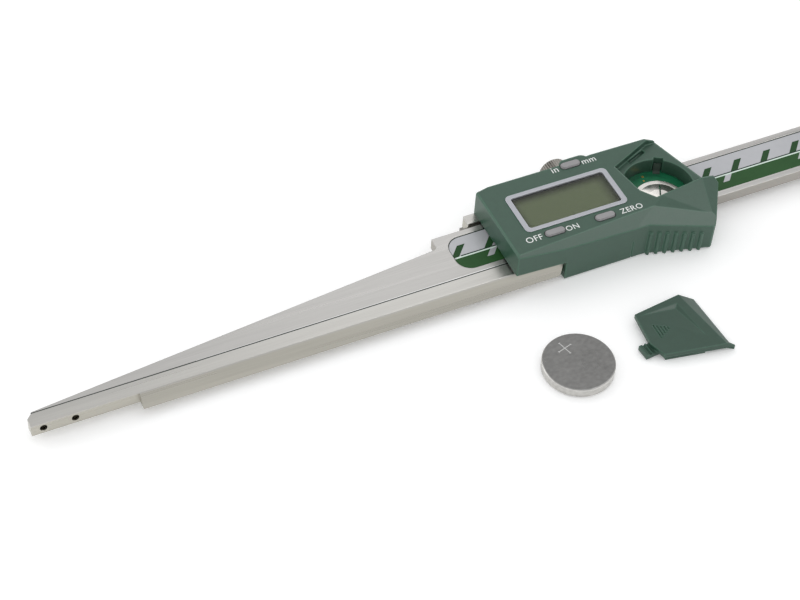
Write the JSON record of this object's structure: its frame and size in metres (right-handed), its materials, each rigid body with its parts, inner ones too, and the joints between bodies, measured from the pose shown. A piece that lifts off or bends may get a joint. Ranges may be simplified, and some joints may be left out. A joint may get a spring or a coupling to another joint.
{
  "type": "digital taper gauge",
  "caption": "Digital taper gauge: a wedge-ended steel beam slides past a parallel arm with a shoulder to read hole and slot widths on a battery-powered display.",
  "frame": {"origin": "on the resting plane, under the middle of the slider's back plate", "axes": "+X along the beam away from the wedge's tip, +Y towards the lock screw's side, +Z out of the display's face"},
  "size_m": [0.305, 0.0767, 0.015],
  "materials": {
    "steel_beam": "ground stainless steel, grain along the beam",
    "scale_film": "printed scale film on glass-epoxy",
    "steel_stop": "brushed",
    "screw_steel": "dark machined steel",
    "steel_slider": "ground stainless steel, satin",
    "steel_plate": "satin",
    "gib_brass": "phosphor bronze strip",
    "knob_chrome": "nickel-plated, knurled",
    "housing_plastic": "fine-grained moulded plastic",
    "bezel_paint": "silver satin",
    "window_clear": "clear window",
    "lcd_glass": "liquid-crystal panel, switched off",
    "zebra_rubber": "matt",
    "board_green": "solder mask",
    "chip_black": "epoxy",
    "dome_rubber": "silicone",
    "button_grey": "smooth grey",
    "contact_nickel": "nickel-plated spring sheet",
    "cell_steel": "nickel-plated, lightly scratched",
    "gasket_nylon": "nylon"
  },
  "bodies": {
    "beam": {"beam": "steel_beam", "scale_strip": "scale_film", "end_stop": "steel_stop", "end_stop_screws": "screw_steel"},
    "slider": {"slider_frame": "steel_slider", "back_plate": "steel_plate", "back_plate_screws": "screw_steel", "gib_strip": "gib_brass", "gib_screws": "screw_steel", "housing": "housing_plastic", "housing_screws": "screw_steel", "display_bezel": "bezel_paint", "display_window": "window_clear", "lcd_panel": "lcd_glass", "zebra_strips": "zebra_rubber", "circuit_board": "board_green", "chip_cover": "chip_black", "key_domes": "dome_rubber", "negative_contact": "contact_nickel", "positive_contact": "contact_nickel"},
    "lock_screw": {"lock_screw": "knob_chrome"},
    "unit_button": {"unit_button": "button_grey"},
    "power_button": {"power_button": "button_grey"},
    "zero_button": {"zero_button": "button_grey"},
    "coin_cell": {"cell_can": "cell_steel", "cell_gasket": "gasket_nylon", "cell_cap": "cell_steel"},
    "battery_cover": {"battery_cover": "housing_plastic"}
  },
  "joints": [
    {"name": "slider_travel", "type": "slide", "parent": "beam", "child": "slider", "axis": [1, 0, 0], "range_m": [0, 0.09]},
    {"name": "lock_screw_turn", "type": "hinge", "parent": "slider", "child": "lock_screw", "pos_m": [0, 0.0123, 0.00445], "axis": [0, 1, 0], "range_deg": [-360, 90]},
    {"name": "unit_button_press", "type": "slide", "parent": "slider", "child": "unit_button", "axis": [0, 0, -1], "range_m": [0, 0.0005], "stiffness_N_per_m": 1500},
    {"name": "power_button_press", "type": "slide", "parent": "slider", "child": "power_button", "axis": [0, 0, -1], "range_m": [0, 0.0005], "stiffness_N_per_m": 1500},
    {"name": "zero_button_press", "type": "slide", "parent": "slider", "child": "zero_button", "axis": [0, 0, -1], "range_m": [0, 0.0005], "stiffness_N_per_m": 1500},
    {"name": "coin_cell_lift", "type": "slide", "parent": "beam", "child": "coin_cell", "axis": [0, 0, 1], "range_m": [0, 0.03]},
    {"name": "battery_cover_lift", "type": "slide", "parent": "beam", "child": "battery_cover", "axis": [0, 0, 1], "range_m": [0, 0.03]}
  ]
}
